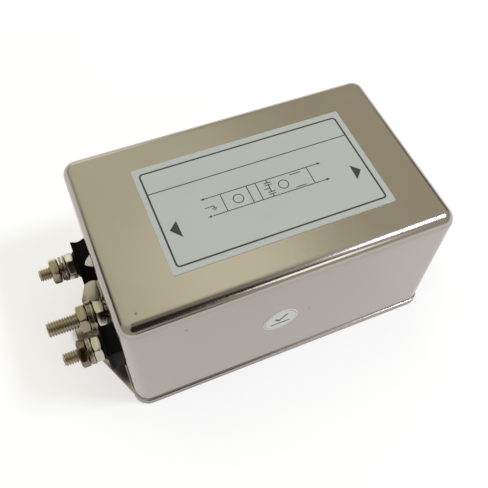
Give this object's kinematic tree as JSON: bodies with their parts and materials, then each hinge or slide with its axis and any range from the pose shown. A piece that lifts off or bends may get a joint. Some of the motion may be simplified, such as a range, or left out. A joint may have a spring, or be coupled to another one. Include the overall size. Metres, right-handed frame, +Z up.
{
  "type": "power line filter",
  "caption": "Metal-cased mains line filter with screw terminals on insulating blocks at both ends, a ground stud and a slotted base plate.",
  "frame": {"origin": "on the underside of the base plate, midway between the two mounting slots", "axes": "+X from the line end to the load end, +Y towards the live side, +Z up from the base plate"},
  "size_m": [0.1273, 0.0586, 0.0462],
  "materials": {
    "can_steel": "satin tin plate",
    "plate_steel": "satin tin plate",
    "label_film": "pale satin film with black print",
    "sticker_paper": "plain white, with a thin border",
    "block_plastic": "glossy black",
    "stud_plating": "nickel plated thread",
    "lock_nut_plating": "bright nickel plate",
    "washer_plating": "nickel plate",
    "spring_washer_plating": "dark plate",
    "nut_plating": "nickel plate",
    "insulator_plastic": "plain black",
    "tag_metal": "tinned",
    "potting_resin": "dark resin",
    "board_laminate": "green lacquer",
    "mount_plastic": "plain off-white",
    "core_ferrite": "dark grey coating",
    "enamelled_wire": "enamelled copper wire",
    "film_capacitor": "yellow box",
    "disc_capacitor": "blue lacquer",
    "resistor_body": "pale blue lacquer",
    "wire_sleeve": "red sleeve",
    "ground_wire_sleeve": "green sleeve"
  },
  "bodies": {
    "filter": {"can": "can_steel", "base_plate": "plate_steel", "rating_label": "label_film", "inspection_sticker": "sticker_paper", "line_live_block": "block_plastic", "line_neutral_block": "block_plastic", "load_live_block": "block_plastic", "load_neutral_block": "block_plastic", "line_live_stud": "stud_plating", "line_neutral_stud": "stud_plating", "load_live_stud": "stud_plating", "load_neutral_stud": "stud_plating", "ground_stud": "stud_plating", "line_live_lock_nut": "lock_nut_plating", "line_neutral_lock_nut": "lock_nut_plating", "load_live_lock_nut": "lock_nut_plating", "load_neutral_lock_nut": "lock_nut_plating", "ground_lock_nut": "lock_nut_plating", "ground_tooth_washer": "washer_plating", "inner_insulators": "insulator_plastic", "solder_tags": "tag_metal", "potting_layer": "potting_resin", "circuit_board": "board_laminate", "choke_mounts": "mount_plastic", "choke_1_core": "core_ferrite", "choke_1_live_winding": "enamelled_wire", "choke_1_neutral_winding": "enamelled_wire", "choke_2_core": "core_ferrite", "choke_2_live_winding": "enamelled_wire", "choke_2_neutral_winding": "enamelled_wire", "line_x_capacitor": "film_capacitor", "middle_x_capacitor": "film_capacitor", "load_x_capacitor": "film_capacitor", "live_y_capacitor": "disc_capacitor", "neutral_y_capacitor": "disc_capacitor", "live_rod_choke": "enamelled_wire", "neutral_rod_choke": "enamelled_wire", "bleeder_resistor": "resistor_body", "line_wires": "wire_sleeve", "load_wires": "wire_sleeve", "ground_wire": "ground_wire_sleeve"},
    "line_live_washers": {"line_live_washer": "washer_plating", "line_live_spring_washer": "spring_washer_plating"},
    "line_live_turning_nut": {"line_live_nut": "nut_plating"},
    "line_neutral_washers": {"line_neutral_washer": "washer_plating", "line_neutral_spring_washer": "spring_washer_plating"},
    "line_neutral_turning_nut": {"line_neutral_nut": "nut_plating"},
    "load_live_washers": {"load_live_washer": "washer_plating", "load_live_spring_washer": "spring_washer_plating"},
    "load_live_turning_nut": {"load_live_nut": "nut_plating"},
    "load_neutral_washers": {"load_neutral_washer": "washer_plating", "load_neutral_spring_washer": "spring_washer_plating"},
    "load_neutral_turning_nut": {"load_neutral_nut": "nut_plating"},
    "ground_washers": {"ground_washer": "washer_plating", "ground_spring_washer": "spring_washer_plating"},
    "ground_turning_nut": {"ground_nut": "nut_plating"}
  },
  "joints": [
    {"name": "line_live_washers_slide", "type": "slide", "parent": "filter", "child": "line_live_washers", "axis": [-1, 0, 0], "range_m": [0, 0.0028]},
    {"name": "line_live_nut_turn", "type": "hinge", "parent": "line_live_washers", "child": "line_live_turning_nut", "pos_m": [-0.0562, 0.0143, 0.0158], "axis": [-1, 0, 0], "range_deg": [0, 1441]},
    {"name": "line_neutral_washers_slide", "type": "slide", "parent": "filter", "child": "line_neutral_washers", "axis": [-1, 0, 0], "range_m": [0, 0.0035]},
    {"name": "line_neutral_nut_turn", "type": "hinge", "parent": "line_neutral_washers", "child": "line_neutral_turning_nut", "pos_m": [-0.0555, -0.0143, 0.0158], "axis": [-1, 0, 0], "range_deg": [0, 1801]},
    {"name": "load_live_washers_slide", "type": "slide", "parent": "filter", "child": "load_live_washers", "axis": [1, 0, 0], "range_m": [0, 0.0035]},
    {"name": "load_live_nut_turn", "type": "hinge", "parent": "load_live_washers", "child": "load_live_turning_nut", "pos_m": [0.0555, 0.0143, 0.0158], "axis": [1, 0, 0], "range_deg": [0, 1801]},
    {"name": "load_neutral_washers_slide", "type": "slide", "parent": "filter", "child": "load_neutral_washers", "axis": [1, 0, 0], "range_m": [0, 0.0035]},
    {"name": "load_neutral_nut_turn", "type": "hinge", "parent": "load_neutral_washers", "child": "load_neutral_turning_nut", "pos_m": [0.0555, -0.0143, 0.0158], "axis": [1, 0, 0], "range_deg": [0, 1801]},
    {"name": "ground_washers_slide", "type": "slide", "parent": "filter", "child": "ground_washers", "axis": [-1, 0, 0], "range_m": [0, 0.008]},
    {"name": "ground_nut_turn", "type": "hinge", "parent": "ground_washers", "child": "ground_turning_nut", "pos_m": [-0.0528, 0, 0.0086], "axis": [-1, 0, 0], "range_deg": [0, 3601]}
  ],
  "couplings": [
    {"joint": "line_live_nut_turn", "follows": "line_live_washers_slide", "rad_per_m": 8976},
    {"joint": "line_neutral_nut_turn", "follows": "line_neutral_washers_slide", "rad_per_m": 8976},
    {"joint": "load_live_nut_turn", "follows": "load_live_washers_slide", "rad_per_m": 8976},
    {"joint": "load_neutral_nut_turn", "follows": "load_neutral_washers_slide", "rad_per_m": 8976},
    {"joint": "ground_nut_turn", "follows": "ground_washers_slide", "rad_per_m": 7854}
  ]
}
